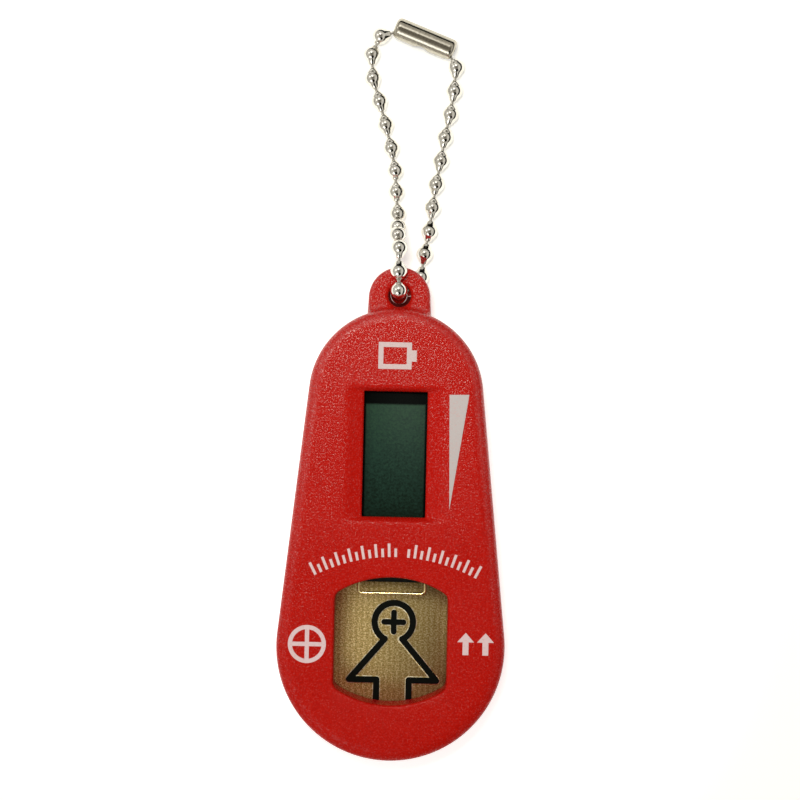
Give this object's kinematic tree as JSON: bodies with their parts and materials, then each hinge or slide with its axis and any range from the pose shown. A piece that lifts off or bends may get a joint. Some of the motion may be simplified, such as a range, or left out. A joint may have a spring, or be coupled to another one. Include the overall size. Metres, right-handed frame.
{
  "type": "battery tester",
  "caption": "Flat key-ring tester for button cells: red two-part housing with a display window, an open cell bay with a gold wire contact, and a ball chain loop through its lug.",
  "frame": {"origin": "centre of the large round end, on the back face", "axes": "+Z out of the front face, +Y along the housing towards the lug and chain, +X to the right as seen from the front"},
  "size_m": [0.0324, 0.1062, 0.008],
  "materials": {
    "red_shell": "fine spark-eroded texture on moulded ABS",
    "white_ink": "thin pad-printed ink",
    "black_ink": "printed solder resist lines",
    "screw_steel": "zinc plated",
    "board_laminate": "glass-epoxy laminate with green resist",
    "gold_plate": "thin gold plating over copper with the weave showing",
    "gold_wire": "bright gold-plated spring wire",
    "solder": "bright solder",
    "display_film": "matte polarising film",
    "display_glass": "clear glass",
    "display_reflector": "satin reflecting film",
    "foam": "closed-cell foam",
    "zebra_rubber": "layered conductive silicone",
    "chip_resin": "poured epoxy",
    "capacitor_ceramic": "fired ceramic with tinned ends",
    "resistor_ceramic": "glazed ceramic with tinned ends",
    "bead_nickel": "nickel-plated brass, polished",
    "link_steel": "nickel-plated wire"
  },
  "bodies": {
    "housing": {"rear_shell": "red_shell", "front_shell": "red_shell", "shell_screws": "screw_steel", "circuit_board": "board_laminate", "contact_pad": "gold_plate", "pad_marking": "black_ink", "wire_solder": "solder", "lcd_polariser": "display_film", "lcd_front_glass": "display_glass", "lcd_rear_glass": "display_glass", "lcd_reflector": "display_reflector", "lcd_cushion": "foam", "zebra_strip": "zebra_rubber", "chip_blob": "chip_resin", "capacitors": "capacitor_ceramic", "resistors": "resistor_ceramic", "level_wedge_print": "white_ink", "polarity_print": "white_ink", "arrow_print": "white_ink", "cell_print": "white_ink", "tick_print": "white_ink"},
    "wire": {"contact_wire": "gold_wire"},
    "chain_root": {"eye_beads": "bead_nickel", "eye_pins": "link_steel"},
    "chain_row1": {"row1_beads": "bead_nickel", "row1_pins": "link_steel"},
    "chain_row2": {"row2_beads": "bead_nickel", "row2_pins": "link_steel"},
    "chain_row3": {"row3_beads": "bead_nickel", "row3_pins": "link_steel"},
    "chain_row4": {"row4_beads": "bead_nickel", "row4_pins": "link_steel"},
    "chain_row5": {"row5_beads": "bead_nickel", "row5_pins": "link_steel"},
    "chain_row6": {"row6_beads": "bead_nickel", "row6_pins": "link_steel"},
    "chain_end": {"end_beads": "bead_nickel", "end_pins": "link_steel"},
    "coupling_tube": {"coupling": "bead_nickel"}
  },
  "joints": [
    {"name": "wire_press", "type": "hinge", "parent": "housing", "child": "wire", "pos_m": [0, 0.013, 0.00323], "axis": [-1, 0, 0], "range_deg": [-4, 12], "stiffness_Nm_per_rad": 0.015},
    {"name": "chain_swing", "type": "hinge", "parent": "housing", "child": "chain_root", "pos_m": [0.0002, 0.0498, 0.004], "axis": [0, 0, 1], "range_deg": [-30, 30]},
    {"name": "fold1", "type": "hinge", "parent": "chain_root", "child": "chain_row1", "pos_m": [-0.00035, 0.06185, 0.0012], "axis": [0.9824, 0.1867, 0], "range_deg": [0, 10]},
    {"name": "fold2", "type": "hinge", "parent": "chain_row1", "child": "chain_row2", "pos_m": [-0.00065, 0.065, 0.0012], "axis": [0.9789, 0.2043, 0], "range_deg": [0, 10]},
    {"name": "fold3", "type": "hinge", "parent": "chain_row2", "child": "chain_row3", "pos_m": [-0.00085, 0.06805, 0.0012], "axis": [0.9731, 0.2303, 0], "range_deg": [0, 10]},
    {"name": "fold4", "type": "hinge", "parent": "chain_row3", "child": "chain_row4", "pos_m": [-0.0015, 0.0713, 0.0012], "axis": [0.9778, 0.2095, 0], "range_deg": [0, 10]},
    {"name": "fold5", "type": "hinge", "parent": "chain_row4", "child": "chain_row5", "pos_m": [-0.0024, 0.07465, 0.0012], "axis": [0.9846, 0.1747, 0], "range_deg": [0, 10]},
    {"name": "fold6", "type": "hinge", "parent": "chain_row5", "child": "chain_row6", "pos_m": [-0.00335, 0.078, 0.0012], "axis": [0.9877, 0.1562, 0], "range_deg": [0, 10]},
    {"name": "fold7", "type": "hinge", "parent": "chain_row6", "child": "chain_end", "pos_m": [-0.0044, 0.0813, 0.0012], "axis": [0.9889, 0.1483, 0], "range_deg": [0, 10]},
    {"name": "coupling_roll", "type": "hinge", "parent": "chain_end", "child": "coupling_tube", "pos_m": [0.003, 0.08705, 0.00155], "axis": [0.9317, -0.3633, 0], "range_deg": [-12, 12]}
  ]
}
